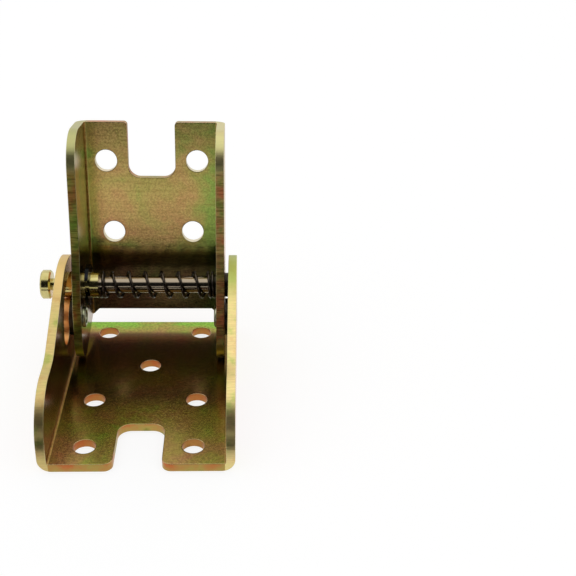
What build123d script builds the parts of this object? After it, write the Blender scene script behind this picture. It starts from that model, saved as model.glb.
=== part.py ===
from build123d import *
import os
from math import asin, atan2, cos, hypot, pi, radians, sin, sqrt

os.makedirs("parts", exist_ok=True)

# Self-locking folding hinge, shown open. Millimetres, +Z up, the front is -Y.
# The origin is on the underside of the base bracket, midway between its ears
# and straight below the fold axis, which runs along X at the pivot height.

# Sheet metal of both brackets
sheet = 2.0
bend_inside = 0.5
bend_outside = 3.0

# Base bracket, measured from its front edge
base_inside_width = 38.8
pivot_from_front = 43.7
pivot_height = 13.0
ear_radius = 15.3
side_height = 17.2
side_front_radius = 11.5
slope_from_front = 17.4
slope_blend_radius = 12.0
base_screw_spacing = 24.0
base_screw_hole = 5.0
front_row = 6.2
middle_row = 23.7
centre_hole = 38.2
rear_row = 53.6
base_notch_width = 10.7
base_notch_depth = 14.3
notch_corner_radius = 3.0
base_tongue_radius = 2.0

# Leg bracket, measured from the fold axis along and across its plate
ear_gap = 1.0
plate_offset = 14.8
plate_top = 45.7
plate_bottom = 3.5
plate_corner = 1.2
heel_drop = 1.0
heel_radius = 1.6
leg_lean = 10.0
fold_travel = 113.0
flange_front = 2.0
flange_straight_from = 17.0
flange_top_radius = 8.5
lobe_radius = 4.8
lobe_front = 4.5
lobe_rise = 6.8
lobe_drop = 10.4
leg_upper_spacing = 22.7
leg_lower_spacing = 20.0
leg_screw_hole = 5.5
leg_upper_row = 36.0
leg_lower_row = 17.6
leg_notch_width = 11.8
leg_notch_depth = 14.0
leg_tongue_radius = 0.9

# Pivot rivets
rivet_shank = 4.0
rivet_bore = 3.0
rivet_head = 6.4
rivet_flare = 5.4
rivet_flare_height = 0.6

# Lock pin
pin_orbit = 7.9
pin_open_angle = 61.0
pin_press = 2.5
head_size = 7.2
head_length = 2.5
head_edge = 0.4
neck_size = 3.0
shoulder_size = 6.4
shoulder_inset = 0.1
shoulder_past_flange = 3.8
rod_size = 4.0
rod_edge = 0.4
pocket_margin = 0.3

# Retaining clip on the pin, and its groove
clip_past_flange = 0.7
clip_thickness = 0.9
clip_rim = 1.5
clip_mouth = 4.0
clip_tab_width = 2.0
clip_mouth_angle = 165.0
groove_size = 4.8

# Spring, and the guide bush at the far flange
wire_size = 0.75
spring_size = 6.8
closed_pitch = 1.3
left_closed_turns = 1
active_turns = 6
right_closed_turns = 1.5
spring_end_radius = 0.8
bush_sleeve = 5.0
bush_inside_length = 1.5
bush_collar = 6.0

# Clearances
running_gap = 0.05
slot_gap = 0.1
side_gap = 0.1
washer_gap = 0.15
clip_gap = 0.15
press_gap = 0.3

# Places worked out from the sizes above
base_half_inside = base_inside_width / 2
base_half_outside = base_half_inside + sheet
leg_half_outside = base_half_inside - ear_gap
leg_half_inside = leg_half_outside - sheet
base_length = pivot_from_front + ear_radius
base_height = pivot_height + ear_radius
rivet_head_bottom = base_half_outside - (rivet_head - rivet_shank) / 2
edge_margin = sheet / 10
front_edge = -pivot_from_front
plate_outside = plate_offset + sheet
heel_bottom = plate_bottom + heel_drop
shoulder_left = -(base_half_outside - shoulder_inset)
shoulder_right = -(leg_half_inside - shoulder_past_flange)
head_right = -(base_half_outside + pin_press + press_gap)
head_left = head_right - head_length
rod_right = base_half_inside - pin_press - press_gap
pivot_washer_size = 2 * (pin_orbit - washer_gap) - shoulder_size
clip_size = 2 * (pin_orbit - clip_gap) - rivet_flare
pin_y = pin_orbit * cos(radians(pin_open_angle))
pin_z = pivot_height + pin_orbit * sin(radians(pin_open_angle))

# Planes: the leg's plate stands on leg_plane, and leg_side looks at it along X
up_leg = (0, sin(radians(leg_lean)), cos(radians(leg_lean)))
back_from_leg = (0, cos(radians(leg_lean)), -sin(radians(leg_lean)))
pivot_point = (0, 0, pivot_height)
leg_plane = Plane(origin=pivot_point, x_dir=(1, 0, 0), z_dir=up_leg)
leg_side = Plane(origin=pivot_point, x_dir=back_from_leg, z_dir=(1, 0, 0))
leg_back = Plane(origin=pivot_point, x_dir=(-1, 0, 0), z_dir=back_from_leg)
pivot_side = Plane(origin=pivot_point, x_dir=(0, 1, 0), z_dir=(1, 0, 0))
pin_side = Plane(origin=(0, pin_y, pin_z), x_dir=(0, 1, 0), z_dir=(1, 0, 0))
pin_profile = Plane(origin=(0, pin_y, pin_z), x_dir=(1, 0, 0), z_dir=(0, -1, 0))
pivot_axis = Axis(pivot_point, (1, 0, 0))


def pivot_profile(side):
    """Plane of a profile turned about the fold axis, with its x axis out towards that side."""
    return Plane(origin=pivot_point, x_dir=(side, 0, 0), z_dir=(0, -side, 0))


def finish(builder, name):
    """Label one finished piece and write it."""
    builder.part.label = name
    export_step(builder.part, f"parts/{name}.step")


# Middle line of the lock slot, about the fold axis
slot_line = CenterArc((0, 0), pin_orbit, pin_open_angle, fold_travel)

# Base bracket: a bent channel, trimmed to its side outline, then pierced
with BuildPart() as base_bracket:
    with BuildSketch(Plane.XZ.offset(-(base_length + front_edge))) as base_section:
        with Locations((0, base_height / 2)):
            Rectangle(2 * base_half_outside, base_height)
        bottom_corners = base_section.vertices().group_by(Axis.Y)[0]
        fillet(bottom_corners, bend_outside)
        with BuildSketch(mode=Mode.PRIVATE) as base_hollow:
            with Locations((0, sheet + base_height / 2)):
                Rectangle(base_inside_width, base_height)
            fillet(base_hollow.vertices().group_by(Axis.Y)[0], bend_inside)
        add(base_hollow.sketch, mode=Mode.SUBTRACT)
    extrude(amount=base_length)

    # Side outline: rounded front corner, low side, slope, round ear, straight back
    slope_foot_y = front_edge + slope_from_front
    pivot_drop = pivot_height - side_height
    slope = atan2(pivot_drop, -slope_foot_y) + asin(ear_radius / hypot(slope_foot_y, pivot_drop))
    tangent_y = -ear_radius * sin(slope)
    tangent_z = pivot_height + ear_radius * cos(slope)
    with BuildSketch(Plane.YZ.offset(-base_half_outside)) as base_outline:
        with BuildLine():
            Polyline(
                (tangent_y, tangent_z),
                (slope_foot_y, side_height),
                (front_edge, side_height),
                (front_edge, 0),
                (ear_radius, 0),
                (ear_radius, pivot_height),
            )
            ThreePointArc(
                (ear_radius, pivot_height),
                (ear_radius * sin(pi / 4), pivot_height + ear_radius * cos(pi / 4)),
                (tangent_y, tangent_z),
            )
        make_face()
        front_top = base_outline.vertices().sort_by(Axis.X)[:2].sort_by(Axis.Y)[-1]
        fillet(front_top, side_front_radius)
        foot = base_outline.vertices().sort_by_distance((slope_foot_y, side_height))[0]
        fillet(foot, slope_blend_radius)
    extrude(amount=2 * base_half_outside, mode=Mode.INTERSECT)

    # Screw holes: three pairs and one in the middle
    with BuildSketch() as base_holes:
        for row in (front_row, middle_row, rear_row):
            with Locations((0, front_edge + row)):
                with GridLocations(base_screw_spacing, 0, 2, 1):
                    Circle(base_screw_hole / 2)
        with Locations((0, front_edge + centre_hole)):
            Circle(base_screw_hole / 2)
    extrude(amount=sheet, mode=Mode.SUBTRACT)

    # Notch in the front edge, with its mouth rounded
    with BuildSketch() as base_notch:
        with Locations((0, front_edge)):
            Rectangle(base_notch_width, 2 * base_notch_depth)
        fillet(base_notch.vertices(), notch_corner_radius)
    extrude(amount=sheet, mode=Mode.SUBTRACT)
    tongues = (
        base_bracket.edges()
        .filter_by(Axis.Z)
        .filter_by_position(Axis.Y, front_edge - edge_margin, front_edge + edge_margin)
        .filter_by_position(Axis.X, -base_notch_width, base_notch_width)
    )
    fillet(tongues, base_tongue_radius)

    # Holes for the two pivot rivets, countersunk outside, and the lock slot in the left ear
    with BuildSketch(pivot_side.offset(-base_half_outside)):
        Circle(rivet_shank / 2)
    extrude(amount=2 * base_half_outside, mode=Mode.SUBTRACT)
    for side in (-1, 1):
        with BuildSketch(pivot_profile(side)):
            with BuildLine():
                Polyline(
                    (base_half_outside, 0),
                    (base_half_outside, rivet_head / 2),
                    (rivet_head_bottom, rivet_shank / 2),
                    (rivet_head_bottom, 0),
                    close=True,
                )
            make_face()
        revolve(axis=pivot_axis, mode=Mode.SUBTRACT)
    with BuildSketch(pivot_side.offset(-base_half_outside)):
        SlotArc(slot_line, shoulder_size + 2 * slot_gap)
        for angle in (pin_open_angle, pin_open_angle + fold_travel):
            with PolarLocations(pin_orbit, 1, start_angle=angle):
                Circle(shoulder_size / 2 + pocket_margin)
    extrude(amount=sheet, mode=Mode.SUBTRACT)
finish(base_bracket, "base_bracket")

# Leg bracket: the same bent channel, narrower, leaning back a little when open
with BuildPart() as leg_bracket:
    with BuildSketch(leg_plane.offset(-lobe_drop)) as leg_section:
        leg_depth = plate_outside + lobe_front
        with Locations((0, plate_outside - leg_depth / 2)):
            Rectangle(2 * leg_half_outside, leg_depth)
        fillet(leg_section.vertices().group_by(Axis.Y)[-1], bend_outside)
        with BuildSketch(mode=Mode.PRIVATE) as leg_hollow:
            with Locations((0, plate_offset - leg_depth / 2)):
                Rectangle(2 * leg_half_inside, leg_depth)
            fillet(leg_hollow.vertices().group_by(Axis.Y)[-1], bend_inside)
        add(leg_hollow.sketch, mode=Mode.SUBTRACT)
    extrude(amount=plate_top + lobe_drop)

    # Side outline: rounded lobe round the pivot, heel behind it, straight above, round top
    with BuildSketch(leg_side.offset(-leg_half_outside)) as leg_outline:
        for lobe_end in (lobe_rise - lobe_radius, lobe_radius - lobe_drop):
            with Locations((lobe_radius - lobe_front, lobe_end)):
                Circle(lobe_radius)
        with Locations((plate_outside - heel_radius, heel_radius - heel_bottom)):
            Circle(heel_radius)
        with Locations(((plate_outside - flange_front) / 2, flange_straight_from - sheet)):
            Rectangle(plate_outside + flange_front, 2 * sheet)
        make_hull(mode=Mode.REPLACE)
        with BuildSketch(leg_side, mode=Mode.PRIVATE) as leg_upper:
            with Locations(((plate_outside - flange_front) / 2, (plate_top + flange_straight_from) / 2)):
                Rectangle(plate_outside + flange_front, plate_top - flange_straight_from)
            top_front = leg_upper.vertices().group_by(Axis.Y)[-1].sort_by(Axis.X)[0]
            fillet(top_front, flange_top_radius)
        add(leg_upper.sketch_local)
    extrude(amount=2 * leg_half_outside, mode=Mode.INTERSECT)

    # The plate's lower edge is cut back between the bends, with cut corners
    with BuildSketch(leg_back.offset(plate_offset)):
        with Locations((0, -(plate_bottom + lobe_drop) / 2)):
            below_plate = Rectangle(2 * (leg_half_inside - bend_inside), lobe_drop - plate_bottom)
        chamfer(below_plate.vertices().group_by(Axis.Y)[-1], plate_corner)
    extrude(amount=sheet, mode=Mode.SUBTRACT)

    # Screw holes: two pairs, the upper pair wider apart
    with BuildSketch(leg_back.offset(plate_offset)):
        for spacing, row in ((leg_upper_spacing, leg_upper_row), (leg_lower_spacing, leg_lower_row)):
            with Locations((0, row)):
                with GridLocations(spacing, 0, 2, 1):
                    Circle(leg_screw_hole / 2)
    extrude(amount=sheet, mode=Mode.SUBTRACT)

    # Notch in the top edge, with its mouth lightly rounded
    with BuildSketch(leg_back.offset(plate_offset)) as leg_notch:
        with Locations((0, plate_top)):
            Rectangle(leg_notch_width, 2 * leg_notch_depth)
        fillet(leg_notch.vertices(), notch_corner_radius)
    extrude(amount=sheet, mode=Mode.SUBTRACT)
    leg_tongues = (
        leg_bracket.edges()
        .filter_by(Axis(pivot_point, back_from_leg))
        .filter_by_position(Axis.X, -leg_notch_width, leg_notch_width)
        .filter_by_position(Axis(pivot_point, up_leg), plate_top - edge_margin, plate_top + edge_margin)
    )
    fillet(leg_tongues, leg_tongue_radius)

    # Running holes for the rivets, the shoulder's hole and the bush's seat
    with BuildSketch(pivot_side.offset(-leg_half_outside)):
        Circle(rivet_shank / 2 + running_gap)
    extrude(amount=2 * leg_half_outside, mode=Mode.SUBTRACT)
    with BuildSketch(pin_side.offset(-leg_half_outside)):
        Circle(shoulder_size / 2 + running_gap)
    extrude(amount=sheet, mode=Mode.SUBTRACT)
    with BuildSketch(pin_side.offset(leg_half_inside)):
        Circle(bush_sleeve / 2)
    extrude(amount=sheet, mode=Mode.SUBTRACT)
finish(leg_bracket, "leg_bracket")

# Hollow rivets that carry the leg, flush outside, with a washer between each ear and flange
for side, hand in ((-1, "left"), (1, "right")):
    flare_start = leg_half_inside - running_gap
    flare_middle = (rivet_bore + rivet_flare) / 4
    with BuildPart() as pivot_rivet:
        with BuildSketch(pivot_profile(side)):
            with BuildLine():
                Polyline(
                    (flare_start, rivet_bore / 2),
                    (base_half_outside, rivet_bore / 2),
                    (base_half_outside, rivet_head / 2),
                    (rivet_head_bottom, rivet_shank / 2),
                    (flare_start, rivet_shank / 2),
                    (flare_start, rivet_flare / 2),
                )
                ThreePointArc(
                    (flare_start, rivet_flare / 2),
                    (flare_start - rivet_flare_height, flare_middle),
                    (flare_start, rivet_bore / 2),
                )
            make_face()
        revolve(axis=pivot_axis)
    finish(pivot_rivet, f"pivot_rivet_{hand}")

    washer_thickness = base_half_inside - leg_half_outside - side_gap
    washer_middle = base_half_inside - washer_thickness / 2
    with BuildPart() as pivot_washer:
        with BuildSketch(pivot_side.offset(side * washer_middle)):
            Circle(pivot_washer_size / 2)
            Circle(rivet_shank / 2 + running_gap, mode=Mode.SUBTRACT)
        extrude(amount=washer_thickness / 2, both=True)
    finish(pivot_washer, f"pivot_washer_{hand}")

# Lock pin: button head, neck, shoulder with the clip's groove, and the spring's rod
groove_left = -leg_half_inside + clip_past_flange
groove_right = groove_left + clip_thickness + 2 * running_gap
with BuildPart() as lock_pin:
    with BuildSketch(pin_profile):
        with BuildLine():
            Polyline(
                (head_left, 0),
                (head_left, head_size / 2 - head_edge),
                (head_left + head_edge, head_size / 2),
                (head_right - head_edge, head_size / 2),
                (head_right, head_size / 2 - head_edge),
                (head_right, neck_size / 2),
                (shoulder_left, neck_size / 2),
                (shoulder_left, shoulder_size / 2 - running_gap),
                (shoulder_left + running_gap, shoulder_size / 2),
                (groove_left, shoulder_size / 2),
                (groove_left, groove_size / 2),
                (groove_right, groove_size / 2),
                (groove_right, shoulder_size / 2),
                (shoulder_right, shoulder_size / 2),
                (shoulder_right, rod_size / 2),
                (rod_right - rod_edge, rod_size / 2),
                (rod_right, rod_size / 2 - rod_edge),
                (rod_right, 0),
                close=True,
            )
        make_face()
    revolve(axis=Axis((0, pin_y, pin_z), (1, 0, 0)))
finish(lock_pin, "lock_pin")

# Retaining clip: an open ring with three tabs that reach into the groove
with BuildPart() as retaining_clip:
    with BuildSketch(pin_side.offset(groove_left + running_gap)) as clip_sketch:
        Circle(clip_size / 2)
        Circle(clip_size / 2 - clip_rim, mode=Mode.SUBTRACT)
        for tab_angle in (180, 75, -75):
            with PolarLocations(clip_size / 4 + clip_rim / 4, 1, start_angle=clip_mouth_angle + tab_angle):
                Rectangle(clip_size / 2 - clip_rim / 2, clip_tab_width)
        Circle(groove_size / 2 + running_gap, mode=Mode.SUBTRACT)
        with PolarLocations(clip_size / 2, 1, start_angle=clip_mouth_angle):
            Rectangle(clip_size, clip_mouth, mode=Mode.SUBTRACT)
    extrude(amount=clip_thickness)
finish(retaining_clip, "retaining_clip")

# Guide bush: pressed into the right flange, it carries the rod's end
with BuildPart() as guide_bush:
    with BuildSketch(pin_side.offset(leg_half_inside - bush_inside_length)):
        Circle(bush_sleeve / 2)
    extrude(amount=bush_inside_length + sheet)
    with BuildSketch(pin_side.offset(leg_half_outside)):
        Circle(bush_collar / 2)
    extrude(amount=base_half_inside - leg_half_outside - side_gap)
    with BuildSketch(pin_side.offset(leg_half_inside - bush_inside_length)):
        Circle(rod_size / 2 + running_gap)
    extrude(amount=base_half_outside, mode=Mode.SUBTRACT)
finish(guide_bush, "guide_bush")

# Spring: one unbroken wire, closed turns at both ends and open turns between.
# Each quarter turn is two tangent arcs, and each end turns to meet its seat square.
coil_radius = (spring_size - wire_size) / 2
end_length = wire_size + spring_end_radius
coil_start = shoulder_right + end_length
coil_end = leg_half_inside - end_length
closed_turns = left_closed_turns + right_closed_turns
active_pitch = (coil_end - coil_start - closed_turns * closed_pitch) / active_turns
quarter_pitches = (
    [closed_pitch / 4] * round(4 * left_closed_turns)
    + [active_pitch / 4] * round(4 * active_turns)
    + [closed_pitch / 4] * round(4 * right_closed_turns)
)


def coil_node(count, along):
    """Point after a number of quarter turns, on the wire's centre line."""
    angle = count * pi / 2
    return Vector(along, pin_y + coil_radius * cos(angle), pin_z + coil_radius * sin(angle))


def coil_direction(count, rise):
    """Direction of the wire there, where rise is its advance in a quarter turn."""
    angle = count * pi / 2
    return Vector(rise, -coil_radius * pi / 2 * sin(angle), coil_radius * pi / 2 * cos(angle)).normalized()


def arc_middle(start, corner, end):
    """Middle of the arc that is tangent to start-corner and corner-end."""
    chord_middle = (start + end) * 0.5
    leg_length = (corner - start).length
    half_chord = (end - start).length / 2
    height = (corner - chord_middle).length
    radius = leg_length * half_chord / height
    centre = corner + (chord_middle - corner).normalized() * sqrt(leg_length**2 + radius**2)
    return centre + (corner - centre).normalized() * radius


def biarc(start, start_direction, end, end_direction):
    """Two tangent arcs that join two points with the directions given there."""
    chord = end - start
    both = start_direction + end_direction
    a = 2 * (1 - start_direction.dot(end_direction))
    b = 2 * chord.dot(both)
    reach = (-b + sqrt(b**2 + 4 * a * chord.dot(chord))) / (2 * a)
    first_corner = start + start_direction * reach
    second_corner = end - end_direction * reach
    joint = (first_corner + second_corner) * 0.5
    return [
        (start, arc_middle(start, first_corner, joint), joint),
        (joint, arc_middle(joint, second_corner, end), end),
    ]


along = coil_start
nodes = [coil_node(0, along)]
for count, rise in enumerate(quarter_pitches, start=1):
    along += rise
    nodes.append(coil_node(count, along))
rises = [0] + [(before + after) / 2 for before, after in zip(quarter_pitches, quarter_pitches[1:])] + [0]
directions = [coil_direction(count, rise) for count, rise in enumerate(rises)]
arcs = []
for count in range(len(quarter_pitches)):
    arcs += biarc(nodes[count], directions[count], nodes[count + 1], directions[count + 1])

axial = Vector(1, 0, 0)
entry_corner = nodes[0] - directions[0] * spring_end_radius
entry_start = entry_corner - axial * spring_end_radius
exit_corner = nodes[-1] + directions[-1] * spring_end_radius
exit_end = exit_corner + axial * spring_end_radius
with BuildPart() as lock_spring:
    with BuildLine() as spring_wire:
        Line(entry_start - axial * wire_size, entry_start)
        ThreePointArc(entry_start, arc_middle(entry_start, entry_corner, nodes[0]), nodes[0])
        for start, middle, end in arcs:
            ThreePointArc(start, middle, end)
        ThreePointArc(nodes[-1], arc_middle(nodes[-1], exit_corner, exit_end), exit_end)
        Line(exit_end, exit_end + axial * wire_size)
    with BuildSketch(Plane(origin=entry_start - axial * wire_size, z_dir=axial)):
        Circle(wire_size / 2)
    sweep(path=spring_wire.wires()[0])
finish(lock_spring, "lock_spring")

# The wire's least gap to itself, between points half a turn and more apart
points_per_turn = 40
wire_length = spring_wire.wires()[0].length
turn_length = 2 * pi * coil_radius
sample_count = int(wire_length / turn_length * points_per_turn)
samples = [spring_wire.wires()[0] @ (index / sample_count) for index in range(sample_count + 1)]
least_gap = min(
    (samples[j] - samples[i]).length - wire_size
    for i in range(sample_count)
    for j in range(i + points_per_turn // 2, sample_count + 1)
)
print("spring: turns", active_turns + closed_turns, "active pitch", round(active_pitch, 3))
print("spring: least gap to itself", round(least_gap, 3), "mm, wire length", round(wire_length, 1), "mm")
print("spring: volume", round(lock_spring.part.volume, 2), "section x length",
      round(wire_length * pi * wire_size**2 / 4, 2))
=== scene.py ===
# %% [markdown]
# # A folding leg hinge in yellow-passivated zinc
# The hinge is two pressed steel channels joined by hollow rivets, with a sprung lock pin across
# them. The CAD model already holds every plate, pin and hole at its real size, so this lesson
# adds what CAD leaves out: the camera, a plain studio, the wound spring and the finishes.

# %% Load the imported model
import math

import bpy
from mathutils import Matrix, Vector


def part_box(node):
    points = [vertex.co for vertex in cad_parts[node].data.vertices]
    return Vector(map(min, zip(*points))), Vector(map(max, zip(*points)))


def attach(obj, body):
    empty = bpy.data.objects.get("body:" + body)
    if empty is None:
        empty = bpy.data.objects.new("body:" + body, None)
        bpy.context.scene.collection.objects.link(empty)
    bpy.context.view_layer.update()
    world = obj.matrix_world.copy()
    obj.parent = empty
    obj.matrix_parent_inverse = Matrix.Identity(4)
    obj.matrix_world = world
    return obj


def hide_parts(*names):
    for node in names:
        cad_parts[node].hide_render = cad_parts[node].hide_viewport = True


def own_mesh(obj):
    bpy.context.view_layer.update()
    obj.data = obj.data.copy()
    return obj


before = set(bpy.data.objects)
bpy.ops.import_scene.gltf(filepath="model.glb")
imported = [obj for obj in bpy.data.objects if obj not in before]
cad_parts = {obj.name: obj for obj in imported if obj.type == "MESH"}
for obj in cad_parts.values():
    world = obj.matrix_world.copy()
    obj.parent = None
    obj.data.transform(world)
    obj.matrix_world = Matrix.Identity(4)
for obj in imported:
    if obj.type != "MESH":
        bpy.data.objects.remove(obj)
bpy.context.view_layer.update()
mm = 0.001
print("nodes:", sorted(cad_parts))

# %% [markdown]
# ## The camera
# The hinge is seen from the front, a little from the right and from above. A camera's own place
# and turns could be found by eye, but lines that are parallel on the hinge fix them much better:
# the numbers here put the corners of both channels where the reference view has them. The turns
# are made one after another: about the upright, then downwards, then a slight tilt of the view.

# %% Place the camera
camera_place = Vector((23.3, -217.8, 144.9)) * mm
camera_turn = math.radians(-2.81)
camera_pitch = math.radians(90 - 29.57)
camera_roll = math.radians(1.51)
bpy.ops.object.select_all(action="DESELECT")
bpy.ops.object.camera_add()
camera = bpy.context.object
camera.name = "camera"
camera.matrix_world = (
    Matrix.Translation(camera_place)
    @ Matrix.Rotation(camera_turn, 4, "Z")
    @ Matrix.Rotation(camera_pitch, 4, "X")
    @ Matrix.Rotation(camera_roll, 4, "Z")
)
camera.data.lens = 63.7
camera.data.clip_start = 10 * mm
camera.data.clip_end = 20
bpy.context.scene.camera = camera
print("camera at", tuple(round(value / mm, 1) for value in camera.matrix_world.translation), "mm")

# %% [markdown]
# ## Small helpers for materials
# Every finish here is worked out by shader nodes from the place of a point on the metal, so no
# picture is needed and no seam can show. A node is added, set and wired in one call, which keeps
# each finish short enough to read as a recipe. More helpers follow where a step first needs them.

# %% Node helpers
def blank_material(name):
    """A new material with an empty node tree."""
    material = bpy.data.materials.new(name)
    material.use_nodes = True
    material.node_tree.nodes.clear()
    return material


def add(tree, kind, inputs=None, **settings):
    """Adds a node, sets its properties, and sets or wires its sockets."""
    made = tree.nodes.new(kind)
    for key, value in settings.items():
        setattr(made, key, value)
    for socket, value in (inputs or {}).items():
        if isinstance(value, bpy.types.NodeSocket):
            tree.links.new(value, made.inputs[socket])
        else:
            made.inputs[socket].default_value = value
    return made


def calc(tree, operation, first, second=0.0):
    """One Math node's result."""
    return add(tree, "ShaderNodeMath", {0: first, 1: second}, operation=operation).outputs[0]


def either(tree, first, second):
    """A mask that is 1 where one of two masks is."""
    return calc(tree, "MAXIMUM", first, second)


def spread(tree, value, low, high, from_low=0.0, from_high=1.0):
    """A value stretched from one range to another, and held at its ends."""
    sockets = {"Value": value, "From Min": from_low, "From Max": from_high, "To Min": low, "To Max": high}
    return add(tree, "ShaderNodeMapRange", sockets).outputs[0]


def split(tree, vector):
    """The three parts of a vector."""
    return add(tree, "ShaderNodeSeparateXYZ", {0: vector}).outputs[:]


print("node helpers ready")

# %% [markdown]
# ## The room and the floor
# The hinge stands on a plain pale sheet. The sheet and the room beyond it look white to the
# camera and to the metal's reflections, because a Light Path node gives those rays a plain white,
# while the lamp and the room light the hinge at an ordinary level. The sheet still catches a soft
# shadow.

# %% Room and floor
white = (1, 1, 1, 1)


def white_to_the_eye(tree):
    """1 for rays from the camera or off shiny and clear surfaces, and 0 for the light itself."""
    path = add(tree, "ShaderNodeLightPath")
    seen = either(tree, path.outputs["Is Camera Ray"], path.outputs["Is Glossy Ray"])
    return either(tree, seen, path.outputs["Is Transmission Ray"])


def make_world():
    """A room that is white to look at and lights the hinge evenly."""
    room_level = 0.75
    world = bpy.data.worlds.new("studio")
    world.use_nodes = True
    tree = world.node_tree
    tree.nodes.clear()
    level = spread(tree, white_to_the_eye(tree), room_level, 1.0)
    glow = add(tree, "ShaderNodeBackground", {"Color": white, "Strength": level})
    add(tree, "ShaderNodeOutputWorld", {"Surface": glow.outputs[0]})
    bpy.context.scene.world = world


def make_floor():
    """A matt sheet under the hinge, lifted towards white for the eye alone."""
    floor_size = 6.0
    floor_gap = 0.02 * mm
    paper_grey = (0.25, 0.25, 0.25, 1)
    lift_level = 0.8
    bpy.ops.object.select_all(action="DESELECT")
    bpy.ops.mesh.primitive_plane_add(size=floor_size, location=(0, 0, -floor_gap))
    floor = bpy.context.object
    floor.name = "floor"
    paper = blank_material("white_paper")
    tree = paper.node_tree
    matt = add(tree, "ShaderNodeBsdfDiffuse", {"Color": paper_grey})
    strength = calc(tree, "MULTIPLY", white_to_the_eye(tree), lift_level)
    lift = add(tree, "ShaderNodeEmission", {"Color": white, "Strength": strength})
    lifted = add(tree, "ShaderNodeAddShader", {0: matt.outputs[0], 1: lift.outputs[0]})
    add(tree, "ShaderNodeOutputMaterial", {"Surface": lifted.outputs[0]})
    floor.data.materials.append(paper)


make_world()
make_floor()
print("world:", bpy.context.scene.world.name)

# %% [markdown]
# ## Cards and a lamp
# Polished metal needs something dark to reflect, or it looks like plaster, so two dark cards are
# set out of sight on the camera's side: one upright, fading to white at its top, and one lying in
# front of the hinge. A bright strip is left between them, which draws a thin light line along the
# round parts. An apron round the sides and back turns grey with distance, so that the flat sides
# shade from light to dark as real plate does. One large lamp overhead gives the soft shadow.

# %% Card helpers
def hang_card(name, width, height, place, tilt=0.0):
    """A card that only the metal's reflections see. Its paint is still to be made, in the returned tree."""
    bpy.ops.object.select_all(action="DESELECT")
    bpy.ops.mesh.primitive_plane_add(size=1, location=place, rotation=(tilt, 0, 0))
    card = bpy.context.object
    card.name = name
    card.scale = (width, height, 1)
    card.visible_camera = False
    card.visible_diffuse = False
    card.visible_transmission = False
    card.visible_shadow = False
    paint = blank_material(name)
    card.data.materials.append(paint)
    return paint.node_tree


def lay_card(name, left, right, front, back, lift):
    """A card lying just above the floor, given by its edges."""
    place = ((left + right) / 2, (front + back) / 2, lift)
    return hang_card(name, right - left, back - front, place)


def paint_card(tree, strength):
    """Gives a card a plain white glow, even or graded."""
    glow = add(tree, "ShaderNodeEmission", {"Color": white, "Strength": strength})
    add(tree, "ShaderNodeOutputMaterial", {"Surface": glow.outputs[0]})


print("card helpers ready")

# %% The three cards and the lamp
dark_level = 0.015


def make_table_card():
    """The dark card in front of the hinge."""
    left, right = -45 * mm, 800 * mm
    front, back = -210 * mm, -50 * mm
    paint_card(lay_card("table_card", left, right, front, back, lift=0.2 * mm), dark_level)


def make_front_card():
    """The dark card behind the camera, which fades to white from a share of its height upwards."""
    width = 2.4
    bottom, top = 45 * mm, 1240 * mm
    place = (0, -500 * mm, (bottom + top) / 2)
    fade_from = 0.464
    fade_curve = 1.4
    card_end = 0.5
    tree = hang_card("front_card", width, top - bottom, place, tilt=math.radians(90))
    upwards = split(tree, add(tree, "ShaderNodeTexCoord").outputs["Object"])[1]
    fade = spread(tree, upwards, 0.0, 1.0, fade_from - card_end, card_end)
    paint_card(tree, calc(tree, "ADD", calc(tree, "POWER", fade, fade_curve), dark_level))


def make_apron():
    """The card round the sides and back, white close by and grey further off."""
    near_reach, far_reach = 45 * mm, 300 * mm
    far_level = 0.45
    half_width = 600 * mm
    front, back = -44 * mm, 601 * mm
    tree = lay_card("apron", -half_width, half_width, front, back, lift=0.1 * mm)
    here = add(tree, "ShaderNodeNewGeometry").outputs["Position"]
    away = add(tree, "ShaderNodeVectorMath", {0: here}, operation="LENGTH").outputs["Value"]
    paint_card(tree, spread(tree, away, 1.0, far_level, near_reach, far_reach))


def make_lamp():
    """One square soft lamp over the hinge, facing it."""
    place = Vector((-0.1, 0.1, 0.8))
    hinge_middle = Vector((0, 0, 25 * mm))
    bpy.ops.object.select_all(action="DESELECT")
    bpy.ops.object.light_add(type="AREA")
    lamp = bpy.context.object
    lamp.name = "lamp_top"
    lamp.data.size = 0.9
    lamp.data.energy = 0.6
    facing = (hinge_middle - place).to_track_quat("-Z", "Y")
    lamp.matrix_world = Matrix.Translation(place) @ facing.to_matrix().to_4x4()
    lamp.visible_camera = False
    print("lamp", lamp.name, "of", round(lamp.data.energy, 2), "W")


make_table_card()
make_front_card()
make_apron()
make_lamp()

# %% [markdown]
# ## The spring
# A compression spring is one wire wound on a mandrel. Its ends are closed, so that the last turns
# lie flat against their seats, and the turns between are open. A Screw modifier could sweep it,
# but has one pitch for the whole length. Here the wire's round section is extruded step by step,
# turned about the rod and pushed along by the pitch at that place, as a coiling machine does. The
# turns begin to open after first_opening of them, and to close again after last_closing.

# %% The spring's sizes
wire_size = 0.75 * mm
closed_pitch = 0.85 * mm
spring_turns = 9.5
first_opening = 0.75
last_closing = 7.05
steps_a_turn = 32
spring_low, spring_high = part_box("lock_spring")
rod_axis = Vector((0, (spring_low.y + spring_high.y) / 2, (spring_low.z + spring_high.z) / 2))
coil_radius = (spring_high.y - spring_low.y) / 2 - wire_size / 2


def openness(turn):
    """0 in the closed turns and 1 in the open ones, with a slope one turn long between."""
    return min(max(min(turn - first_opening, last_closing + 1 - turn), 0), 1)


steps = round(spring_turns * steps_a_turn)
shares = [openness((step + 0.5) / steps_a_turn) for step in range(steps)]
travel = spring_high.x - spring_low.x - wire_size
open_rise = (travel - closed_pitch * spring_turns) / sum(shares)
print("spring:", steps, "steps, open pitch", round((open_rise * steps_a_turn + closed_pitch) / mm, 2), "mm")

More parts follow.
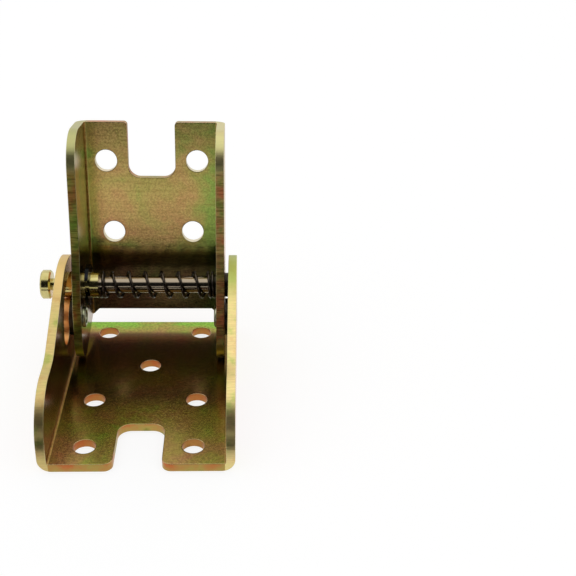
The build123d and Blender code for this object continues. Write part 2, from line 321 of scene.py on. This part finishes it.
# %% Wind the spring
wire_sides = 16
bpy.ops.object.select_all(action="DESELECT")
bpy.ops.mesh.primitive_circle_add(
    vertices=wire_sides,
    radius=wire_size / 2,
    fill_type="NGON",
    location=(spring_low.x + wire_size / 2, rod_axis.y - coil_radius, rod_axis.z),
)
spring = bpy.context.object
spring.name = "wound_spring"
bpy.ops.object.transform_apply(location=True, rotation=True, scale=True)
bpy.ops.object.mode_set(mode="EDIT")
bpy.ops.mesh.select_all(action="SELECT")
for share in shares:
    rise = closed_pitch / steps_a_turn + share * open_rise
    bpy.ops.mesh.extrude_region_move(TRANSFORM_OT_translate={"value": (rise, 0, 0)})
    bpy.ops.transform.rotate(
        value=-math.tau / steps_a_turn,
        orient_axis="X",
        orient_type="GLOBAL",
        center_override=rod_axis,
    )
bpy.ops.mesh.select_all(action="SELECT")
bpy.ops.mesh.normals_make_consistent(inside=False)
bpy.ops.object.mode_set(mode="OBJECT")
bpy.ops.object.shade_smooth_by_angle(angle=math.radians(40))
spring_places = [vertex.co.x / mm for vertex in spring.data.vertices]
print("spring from x", round(min(spring_places), 2), "to", round(max(spring_places), 2), "mm")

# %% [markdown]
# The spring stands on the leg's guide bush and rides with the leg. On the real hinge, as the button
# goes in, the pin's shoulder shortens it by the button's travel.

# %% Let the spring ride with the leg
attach(spring, "leg")
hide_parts("lock_spring")
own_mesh(spring)

# %% [markdown]
# ## Yellow zinc on pressed sheet
# Zinc plate is dipped in a chromate bath, and the film it grows is thin enough to show
# interference colours: gold, green and pink, in soft patches. Inside a bent channel the bath
# drains slowly, so the film is thicker there, olive and brown. The sheared edges and hole walls
# hold less colour, and show fine streaks across the sheet where the punch cut it. One picture of
# the metal couldn't be wrapped round all this without seams, so a recipe tells inner faces, outer
# faces and cut edges apart by where they are and which way they face. What differs between the
# two channels, such as widths, holes and tones, is looked up by name in each one's dictionary.

# %% Soft masks
def above(tree, value, limit, blur):
    """0 below a limit and 1 above it, with a soft step as wide as blur."""
    step = add(
        tree,
        "ShaderNodeMapRange",
        {"Value": value, "From Min": limit - blur / 2, "From Max": limit + blur / 2},
        interpolation_type="SMOOTHSTEP",
    )
    return step.outputs[0]


def below(tree, value, limit, blur):
    """1 below a limit and 0 above it."""
    return calc(tree, "SUBTRACT", 1.0, above(tree, value, limit, blur))


def both(tree, first, second):
    """A mask that is 1 where two masks are."""
    return calc(tree, "MULTIPLY", first, second)


print("soft masks ready")

# %% Where each kind of surface is
sheet = 2.0 * mm
bend_inside = 0.5 * mm


def face_masks(tree, place, facing, channel):
    """Masks of a channel's inner faces, walls, bends and cut edges.

    The channel lies flat, the outside of its web at the height that its dictionary gives, and its
    walls stand up on both sides, along x.
    """
    soft = 0.1 * mm
    squarely, square_blur = 0.5, 0.1
    steeply, steep_blur = 0.7, 0.2
    aslant, slant_blur = 0.3, 0.3
    half_width, web = channel["half_width"], channel["web"]
    x, _, z = split(tree, place)
    nx, ny, nz = (calc(tree, "ABSOLUTE", part) for part in split(tree, facing))
    side = calc(tree, "ABSOLUTE", x)
    bend_start = half_width - sheet - bend_inside
    on_web = below(tree, side, bend_start + bend_inside / 2, soft)
    inner = both(tree, below(tree, side, half_width - sheet / 2, soft), above(tree, z, web + sheet / 2, soft))
    wall = both(tree, inner, above(tree, nx, steeply, steep_blur))
    bend = both(tree, inner, above(tree, calc(tree, "MINIMUM", nx, nz), aslant, slant_blur))
    lengthwise = above(tree, ny, squarely, square_blur)
    sideways = above(tree, nx, squarely, square_blur)
    crosswise = both(tree, sideways, below(tree, side, bend_start - soft, soft))
    upwards = above(tree, nz, squarely, square_blur)
    top = both(tree, upwards, above(tree, z, web + sheet + bend_inside, soft))
    web_cut = both(tree, on_web, either(tree, lengthwise, crosswise))
    wall_cut = both(tree, calc(tree, "SUBTRACT", 1.0, on_web), either(tree, lengthwise, top))
    return {"inner": inner, "wall": wall, "bend": bend, "web_cut": web_cut, "wall_cut": wall_cut}


def hole_halo(tree, place, channel, reach):
    """1 at the rims of a channel's screw holes, falling to 0 at the reach. Each hole has a mirror image."""
    hole_radius = channel["hole_radius"]
    x, y, _ = split(tree, place)
    side = calc(tree, "ABSOLUTE", x)
    nearest = 1.0
    for hole_x, hole_y in channel["holes"]:
        across = calc(tree, "SUBTRACT", side, hole_x)
        along = calc(tree, "SUBTRACT", y, hole_y)
        squares = calc(tree, "ADD", both(tree, across, across), both(tree, along, along))
        nearest = calc(tree, "MINIMUM", nearest, calc(tree, "SQRT", squares))
    return spread(tree, nearest, 1.0, 0.0, hole_radius, hole_radius + reach)


print("surfaces told apart")

# %% [markdown]
# ## The film outside
# Outside, the film is thin and bright. Its thickness is a field of slow, swirling noise, and a
# ramp turns each thickness into its colour, as the real film does: pink, peach, yellow and green
# in turn. Round a hole the bath ran off differently, so the field is shifted there instead of
# painting another colour over it. The press leaves a faint dark crease where each bend starts,
# and a few scuffs show paler metal.

# %% Colour helpers
def srgb(red, green, blue):
    """A colour as seen on a screen, from 0 to 255, turned into the linear one that shaders use."""
    shares = [value / 255 for value in (red, green, blue)]
    linear = [share / 12.92 if share <= 0.04045 else ((share + 0.055) / 1.055) ** 2.4 for share in shares]
    return (*linear, 1.0)


def noise(tree, place, scale, detail=4.0, stretch=(1, 1, 1), shift=(0, 0, 0), swirl=0.0):
    """Cloudy noise, from 0 to 1. The scale is in waves a metre, and stretch squeezes it by axis."""
    mapped = add(tree, "ShaderNodeMapping", {"Vector": place, "Scale": stretch, "Location": shift})
    made = add(
        tree,
        "ShaderNodeTexNoise",
        {
            "Vector": mapped.outputs[0],
            "Scale": scale,
            "Detail": detail,
            "Roughness": 0.6,
            "Distortion": swirl,
        },
    )
    return made.outputs["Fac"]


def between(tree, share, first, second):
    """A value that is a share of the way from the first to the second."""
    sockets = {"Factor": share, "A": first, "B": second}
    return add(tree, "ShaderNodeMix", sockets, data_type="FLOAT").outputs[0]


def mix(tree, factor, first, second, blend="MIX"):
    """Two colours mixed by a factor."""
    sockets = {"Factor": factor, "A": first, "B": second}
    made = add(tree, "ShaderNodeMix", sockets, data_type="RGBA", blend_type=blend)
    return made.outputs["Result"]


def ramp(tree, value, stops):
    """A colour for each value from 0 to 1, from a list of places and colours."""
    made = add(tree, "ShaderNodeValToRGB", {"Fac": value})
    points = made.color_ramp.elements
    while len(points) < len(stops):
        points.new(0.5)
    for point, (place, colour) in zip(points, stops):
        point.position = place
        point.color = colour
    return made.outputs["Color"]


print("colour helpers ready")

# %% The outer film
bend_outside = 3.0 * mm
outer_tones = [
    (0.26, srgb(200, 216, 164)),
    (0.35, srgb(176, 202, 112)),
    (0.42, srgb(212, 212, 116)),
    (0.48, srgb(228, 200, 118)),
    (0.56, srgb(222, 172, 136)),
    (0.66, srgb(228, 166, 154)),
    (0.78, srgb(196, 166, 128)),
]
rim_tone = srgb(246, 238, 196)
crease_tone = (0.78, 0.72, 0.62, 1)


def outer_film(tree, place, channel):
    """The colour of a channel's outer faces."""
    cloud_share = 0.14
    thickening = 0.06
    halo_reach, halo_shift = 2.6 * mm, 0.13
    rim_reach, rim_share = 0.5 * mm, 0.6
    crease_reach, crease_blur = 0.15 * mm, 0.2 * mm
    scuff_limit, scuff_blur, scuff_share = 0.7, 0.04, 0.4
    x, _, z = split(tree, place)
    patches = noise(tree, place, 34, 1.0, swirl=0.8)
    clouds = noise(tree, place, 170, 4.0, shift=(3, 1, 7))
    field = calc(tree, "ADD", between(tree, cloud_share, patches, clouds), thickening)
    halo = hole_halo(tree, place, channel, halo_reach)
    field = calc(tree, "SUBTRACT", field, calc(tree, "MULTIPLY", halo, halo_shift))
    colour = ramp(tree, field, outer_tones)
    rim = hole_halo(tree, place, channel, rim_reach)
    colour = mix(tree, calc(tree, "MULTIPLY", rim, rim_share), colour, rim_tone)
    side = calc(tree, "ABSOLUTE", x)
    from_crease = calc(tree, "ABSOLUTE", calc(tree, "SUBTRACT", side, channel["half_width"] - bend_outside))
    crease = below(tree, from_crease, crease_reach, crease_blur)
    on_web = below(tree, z, channel["web"] + sheet / 4, sheet / 4)
    colour = mix(tree, both(tree, crease, on_web), colour, crease_tone, "MULTIPLY")
    scratches = noise(tree, place, 520, 5.0, stretch=(0.5, 1, 1), shift=(9, 4, 2))
    scuffs = above(tree, scratches, scuff_limit, scuff_blur)
    return mix(tree, calc(tree, "MULTIPLY", scuffs, scuff_share), colour, rim_tone)


print("outer film:", len(outer_tones), "tones")

# %% [markdown]
# ## The film inside
# Between the walls of a channel the film is tan, olive and brown. A fine grain on top stands for
# the crystal of the zinc, crossed by the brush lines of the rolled sheet. Bands of painted shade
# darken the film where the photograph of the open hinge is dark. They stand in for the shade of one
# part on another and for dark reflections, and keep that dark in every pose and view. The light
# tone inside a bend is a painted highlight.

# %% The inner film
# A painted highlight along the inside of each bend.
bend_highlight_tone = srgb(236, 190, 116)
grain_shades = [(0.4, (0.6, 0.56, 0.5, 1)), (0.6, (1.1, 1.1, 1.1, 1))]


def inner_film(tree, place, masks, grain, channel):
    """The colour of a channel's inner faces."""
    cloud_share = 0.28
    halo_reach, halo_shift = 1.6 * mm, 0.06
    shade_blur = 2 * mm
    bend_highlight_share = 0.8
    x, y, _ = split(tree, place)
    patches = noise(tree, place, 60, 3.0, swirl=1.2)
    clouds = noise(tree, place, 220, 5.0, shift=(3, 1, 7))
    field = between(tree, cloud_share, patches, clouds)
    halo = hole_halo(tree, place, channel, halo_reach)
    field = calc(tree, "ADD", field, calc(tree, "MULTIPLY", halo, halo_shift))
    field = calc(tree, "SUBTRACT", field, channel["green"](tree, x, y))
    field = calc(tree, "ADD", field, calc(tree, "MULTIPLY", masks["wall"], channel["wall_shift"]))
    colour = ramp(tree, field, channel["inner_tones"])
    # Painted shade: each band darkens the film from where it begins to where it is full, and stops at its
    # end.
    for shade_from, shade_full, shade_end, shade_tone in channel["painted_shade_bands"]:
        rising = spread(tree, y, 0.0, 1.0, shade_from, shade_full)
        stain_and_painted_shade = both(tree, rising, below(tree, y, shade_end, shade_blur))
        colour = mix(tree, stain_and_painted_shade, colour, shade_tone, "MULTIPLY")
    # Painted highlight: a light tone along the inside of each bend.
    colour = mix(tree, calc(tree, "MULTIPLY", masks["bend"], bend_highlight_share), colour, bend_highlight_tone)
    return mix(tree, channel["grain"], colour, ramp(tree, grain, grain_shades), "MULTIPLY")


print("inner film ready")

# %% [markdown]
# ## Cut edges
# A punch shears the sheet's edge: fine lines run through the thickness, and the plate takes the
# zinc unevenly, in short gold, green and copper stretches, more copper towards the inner face.
# The base's hole walls are copper nearly all over, and the leg's are pale. The ends of the walls
# have tones of their own, given by where they begin and where they are full. In the photograph of
# the open hinge the right-hand edges are lighter than the left-hand ones, most of all on the leg.
# A share for each side paints that difference into the colour: the light here doesn't make it. The
# rims at the corners are painted pale: partly wear where other parts and hands rub them, and partly
# a painted highlight along every edge. The Bevel node finds them, because it bends the normal only
# where two faces meet.

# %% The colours of cut edges
web_cut_tones = [
    (0.27, srgb(118, 122, 52)),
    (0.4, srgb(168, 148, 78)),
    (0.52, srgb(176, 134, 74)),
    (0.66, srgb(186, 110, 62)),
]
shear_shades = [(0.38, (0.3, 0.27, 0.2, 1)), (0.58, (1, 1, 1, 1))]
slot_tone = srgb(224, 164, 100)


def web_edge_colour(tree, place, stretches, channel):
    """The colour of the cut edges of a channel's web, its notch and its hole walls."""
    depth_shift = 0.07
    web = channel["web"]
    z = split(tree, place)[2]
    depth = spread(tree, z, -depth_shift, depth_shift, web, web + sheet)
    colour = ramp(tree, calc(tree, "ADD", stretches, depth), web_cut_tones)
    in_hole = spread(tree, hole_halo(tree, place, channel, mm), 0.0, channel["hole_share"])
    return mix(tree, in_hole, colour, channel["hole_tone"])


def wall_edge_colour(tree, place, stretches, shear, channel):
    """The colour of the cut edges of a channel's walls, their ends and the slot."""
    end_share = 0.85
    axes = split(tree, place)
    on_right = above(tree, axes[0], 0.0, mm)
    colour = ramp(tree, stretches, channel["cut_tones"])
    colour = mix(tree, channel["shear"], colour, ramp(tree, shear, shear_shades), "MULTIPLY")
    # Painted light: each side's edges take a share of their own, so one side is lighter than the other.
    left_light_share, right_light_share = channel["painted_side_light"]
    colour = mix(tree, 1.0, colour, mix(tree, on_right, left_light_share, right_light_share), "MULTIPLY")
    for end_axis, end_from, end_full, left_tone, right_tone in channel["ends"]:
        on_end = spread(tree, axes[end_axis], 0.0, end_share, end_from, end_full)
        colour = mix(tree, on_end, colour, mix(tree, on_right, left_tone, right_tone))
    pivot = add(tree, "ShaderNodeCombineXYZ", {0: axes[0], 1: channel["pivot_y"], 2: channel["pivot_z"]})
    from_pivot = add(tree, "ShaderNodeVectorMath", {0: place, 1: pivot.outputs[0]}, operation="DISTANCE")
    in_slot = below(tree, from_pivot.outputs["Value"], channel["slot_reach"], mm)
    return mix(tree, in_slot, colour, slot_tone)


print("cut edges:", len(web_cut_tones), "tones on a web")

# %% [markdown]
# ## One finish for a channel
# The masks now join the film and the cut edges in one Principled shader. The roughness follows
# the same grain as the bump, so a dull spot is also a rough one. A turn about x lays the
# channel's web flat first, so that the same recipe fits a channel that stands up.

# %% The channel's colour
# Pale metal at the corners: partly wear, partly a painted highlight along every edge.
worn_highlight_tone = srgb(236, 226, 180)


def turned(tree, vector, angle):
    """A vector turned about the x axis."""
    made = add(tree, "ShaderNodeVectorRotate", {"Vector": vector, "Angle": angle}, rotation_type="X_AXIS")
    return made.outputs[0]


def sheet_colour(tree, place, masks, grain, shear, channel):
    """Film and cut edges together, each where its mask is."""
    stretches = noise(tree, place, 210, 4.0)
    inside = inner_film(tree, place, masks, grain, channel)
    colour = mix(tree, masks["inner"], outer_film(tree, place, channel), inside)
    colour = mix(tree, masks["web_cut"], colour, web_edge_colour(tree, place, stretches, channel))
    wall_edge = wall_edge_colour(tree, place, stretches, shear, channel)
    return mix(tree, masks["wall_cut"], colour, wall_edge)


def worn_and_highlit_corners(tree, rounded):
    """How pale the metal is, from wear and a painted highlight: most where the rounded normal leaves the true
    one, at a corner.
    """
    corner_limit, corner_blur = 0.9, 0.1
    worn_highlight_share = 0.7
    straight = add(tree, "ShaderNodeNewGeometry").outputs["Normal"]
    agreement = add(tree, "ShaderNodeVectorMath", {0: rounded, 1: straight}, operation="DOT_PRODUCT")
    corner = below(tree, agreement.outputs["Value"], corner_limit, corner_blur)
    return calc(tree, "MULTIPLY", corner, worn_highlight_share)


print("channel colour ready")

# %% The zinc recipe
def zinc_sheet(name, channel):
    """The finish of one channel."""
    smooth, rough = 0.13, 0.3
    cut_roughness = 0.18
    bend_roughness = 0.35
    material = blank_material(name)
    tree = material.node_tree
    coordinates = add(tree, "ShaderNodeTexCoord")
    place = turned(tree, coordinates.outputs["Object"], channel["turn"])
    facing = turned(tree, coordinates.outputs["Normal"], channel["turn"])
    masks = face_masks(tree, place, facing, channel)
    speckle = noise(tree, place, 1900, 4.0)
    brushing = noise(tree, place, 1500, 2.0, stretch=(0.06, 1, 1))
    grain = between(tree, channel["brushed"], speckle, brushing)
    shear = noise(tree, place, 3200, 3.0, stretch=(0.08, 1, 1))
    rounded = add(tree, "ShaderNodeBevel", {"Radius": 0.25 * mm}, samples=8).outputs[0]
    colour = sheet_colour(tree, place, masks, grain, shear, channel)
    # Pale corners: partly wear, partly a painted highlight along every edge.
    colour = mix(tree, worn_and_highlit_corners(tree, rounded), colour, worn_highlight_tone)

    cut = either(tree, masks["web_cut"], masks["wall_cut"])
    relief = between(tree, cut, grain, shear)
    bump = add(
        tree,
        "ShaderNodeBump",
        {"Height": relief, "Normal": rounded, "Strength": 0.25, "Distance": 0.03 * mm},
    )
    roughness = spread(tree, relief, smooth, rough)
    roughness = calc(tree, "ADD", roughness, calc(tree, "MULTIPLY", cut, cut_roughness))
    roughness = calc(tree, "ADD", roughness, calc(tree, "MULTIPLY", masks["bend"], bend_roughness))
    shader = add(
        tree,
        "ShaderNodeBsdfPrincipled",
        {"Base Color": colour, "Roughness": roughness, "Normal": bump.outputs[0], "Metallic": 1.0},
    )
    add(tree, "ShaderNodeOutputMaterial", {"Surface": shader.outputs[0]})
    return material


def dress(node, material):
    """Puts a finish in a CAD node's material slots."""
    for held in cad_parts[node].material_slots:
        held.material = material


print("zinc recipe ready")

# %% [markdown]
# ## The base
# The base lies flat already. Its film is green along the rear edge and reddish on the insides of
# the ears, and a band of painted shade darkens the floor more and more towards the rear. Its slot
# and its rivet holes are the cuts nearest to the pivot, so their copper walls are found by their
# distance from it.

# %% The base's places
pivot_height = 13.0 * mm
front_edge = -43.7 * mm
base_hole_side = 12.0 * mm
base_holes = [(base_hole_side, front_edge + row * mm) for row in (6.2, 23.7, 53.6)]
base_holes.append((0.0, front_edge + 38.2 * mm))


def base_green(tree, x, y):
    """Green along the rear edge, and less of it in the middle."""
    rear_shift, middle_share = 0.24, 0.55
    at_rear = spread(tree, y, 0.0, rear_shift, 9 * mm, 14 * mm)
    off_middle = spread(tree, calc(tree, "ABSOLUTE", x), middle_share, 1.0, 2 * mm, 9 * mm)
    return both(tree, at_rear, off_middle)


print("base holes at", [(round(x / mm, 1), round(y / mm, 1)) for x, y in base_holes], "mm")

# %% Dress the base
base_channel = {
    "half_width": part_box("base_bracket")[1].x,
    "web": 0.0,
    "turn": 0.0,
    "pivot_y": 0.0,
    "pivot_z": pivot_height,
    "slot_reach": 12.5 * mm,
    "holes": base_holes,
    "hole_radius": 2.5 * mm,
    "hole_tone": srgb(166, 88, 42),
    "hole_share": 0.6,
    "green": base_green,
    "wall_shift": 0.16,
    "grain": 0.7,
    "brushed": 0.06,
    "inner_tones": [
        (0.28, srgb(138, 184, 62)),
        (0.38, srgb(160, 160, 70)),
        (0.48, srgb(168, 146, 76)),
        (0.6, srgb(176, 136, 86)),
        (0.74, srgb(176, 108, 70)),
    ],
    # Painted shade: the floor darkens more and more towards the rear.
    "painted_shade_bands": [(-24 * mm, 8 * mm, 10 * mm, (0.4, 0.3, 0.34, 1))],
    "cut_tones": [
        (0.32, srgb(198, 202, 114)),
        (0.44, srgb(234, 216, 142)),
        (0.56, srgb(240, 214, 146)),
        (0.7, srgb(222, 184, 116)),
    ],
    # Painted light: the left-hand edges about a quarter darker than the right-hand ones.
    "painted_side_light": ((0.76, 0.74, 0.72, 1), (1.0, 1.0, 1.05, 1)),
    "shear": 0.2,
    "ends": [(2, 24 * mm, 27 * mm, srgb(220, 188, 122), srgb(164, 180, 88))],
}
dress("base_bracket", zinc_sheet("zinc_base", base_channel))
print("base half width", round(base_channel["half_width"] / mm, 2), "mm")

# %% [markdown]
# ## The leg
# The leg's plate leans back by ten degrees, so its finish is worked out in a frame turned to lay
# the plate flat, outside down. Its film is tan, and green by the bends. One band of painted shade
# darkens it a little towards the top, and the other a lot low down, behind the pin. The front edges
# of its flanges have the dark tones that the photograph shows on the open hinge, with strong shear
# lines, and end in pale zinc at the top and green gold at the foot. It has no slot, so its slot
# reach is 0.

# %% The leg's places
lean = math.radians(10)
plate_back = 16.8 * mm
pivot_along = pivot_height * math.cos(lean)
pivot_up = pivot_height * math.sin(lean)
leg_holes = [(11.35 * mm, pivot_along + 36.0 * mm), (10.0 * mm, pivot_along + 17.6 * mm)]


def leg_green(tree, x, y):
    """Green by both bends, wider by the right one, all the way along y."""
    right_shift, left_shift = 0.16, 0.14
    right = spread(tree, x, 0.0, right_shift, 8 * mm, 15 * mm)
    left = spread(tree, x, left_shift, 0.0, -15.8 * mm, -13.5 * mm)
    return either(tree, right, left)


print("leg holes at", [(round(x / mm, 1), round(y / mm, 1)) for x, y in leg_holes], "mm")

# %% Dress the leg
leg_channel = {
    "half_width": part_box("leg_bracket")[1].x,
    "web": pivot_up - plate_back,
    "turn": lean - math.radians(90),
    "pivot_y": pivot_along,
    "pivot_z": pivot_up,
    "slot_reach": 0.0,
    "holes": leg_holes,
    "hole_radius": 2.75 * mm,
    "hole_tone": srgb(246, 240, 212),
    "hole_share": 0.7,
    "green": leg_green,
    "wall_shift": 0.06,
    "grain": 0.85,
    "brushed": 0.3,
    "inner_tones": [
        (0.28, srgb(158, 182, 90)),
        (0.4, srgb(192, 180, 102)),
        (0.5, srgb(208, 178, 110)),
        (0.62, srgb(212, 162, 110)),
        (0.76, srgb(196, 138, 98)),
    ],
    # Painted shade: a little towards the top, and a lot low down, behind the pin.
    "painted_shade_bands": [
        (pivot_along + 28 * mm, pivot_along + 44 * mm, pivot_along + 60 * mm, (0.8, 0.82, 0.8, 1)),
        (pivot_along + 16 * mm, pivot_along + 11 * mm, pivot_along + 60 * mm, (0.42, 0.4, 0.46, 1)),
    ],
    "cut_tones": [
        (0.34, srgb(114, 122, 58)),
        (0.46, srgb(146, 130, 74)),
        (0.6, srgb(160, 104, 66)),
    ],
    # Painted light: the right-hand edges about twice as light as the left-hand ones.
    "painted_side_light": ((0.95, 1.2, 0.85, 1), (2.0, 1.9, 2.0, 1)),
    "shear": 0.75,
    "ends": [
        (1, pivot_along + 36 * mm, pivot_along + 39 * mm, srgb(188, 186, 128), srgb(212, 206, 146)),
        (1, pivot_along - 4 * mm, pivot_along - 8 * mm, srgb(232, 240, 120), srgb(240, 244, 130)),
    ],
}
dress("leg_bracket", zinc_sheet("zinc_leg", leg_channel))
print("leg half width", round(leg_channel["half_width"] / mm, 2), "mm")

# %% [markdown]
# ## Turned and stamped small parts
# The rivets and the pin carry the same zinc, without the patches. The clip and the spring are
# blackened steel, the washers and the bush a darker one.

# %% One finish for small parts
def turned_metal(name, dark_tone, light_tone, roughness, bare_from=None, bare_tone=None):
    """Metal turned or rolled about the x axis, with fine rings and a little stain.

    From the place bare_from onwards along x it has the bare tone instead.
    """
    unevenness = 0.05
    material = blank_material(name)
    tree = material.node_tree
    here = add(tree, "ShaderNodeTexCoord").outputs["Object"]
    rings = noise(tree, here, 1800, 2.0, stretch=(1, 0.06, 0.06))
    stain_and_painted_shade = noise(tree, here, 300, 5.0)
    colour = ramp(tree, stain_and_painted_shade, [(0.3, dark_tone), (0.7, light_tone)])
    if bare_from is not None:
        bare = above(tree, split(tree, here)[0], bare_from, 0.2 * mm)
        colour = mix(tree, bare, colour, bare_tone)
    bump = add(tree, "ShaderNodeBump", {"Height": rings, "Strength": 0.12, "Distance": 0.02 * mm})
    shader = add(
        tree,
        "ShaderNodeBsdfPrincipled",
        {
            "Base Color": colour,
            "Roughness": spread(tree, rings, roughness - unevenness, roughness + unevenness),
            "Normal": bump.outputs[0],
            "Metallic": 1.0,
        },
    )
    add(tree, "ShaderNodeOutputMaterial", {"Surface": shader.outputs[0]})
    return material


print("small finish ready")

# %% Dress the small parts
rod_start = spring_low.x
rod_tone = srgb(158, 144, 124)
rivet_zinc = turned_metal("rivet_zinc_finish", srgb(176, 184, 142), srgb(222, 218, 190), 0.36)
pin_zinc = turned_metal(
    "pin_zinc_finish", srgb(176, 164, 100), srgb(206, 194, 134), 0.17, rod_start, rod_tone
)
black_steel = turned_metal("blackened_steel", srgb(22, 24, 30), srgb(40, 42, 48), 0.26)
spring_steel = turned_metal("oiled_spring_steel", srgb(62, 55, 50), srgb(94, 85, 76), 0.26)
dark_steel = turned_metal("dark_steel_finish", srgb(44, 42, 38), srgb(72, 68, 58), 0.38)
for hand in ("left", "right"):
    dress(f"pivot_rivet_{hand}", rivet_zinc)
    dress(f"pivot_washer_{hand}", dark_steel)
dress("lock_pin", pin_zinc)
dress("retaining_clip", black_steel)
dress("guide_bush", dark_steel)
spring.data.materials.append(spring_steel)
print("materials:", sorted(material.name for material in bpy.data.materials if material.users))

# %% Finish
bpy.context.scene.view_settings.view_transform = "Standard"
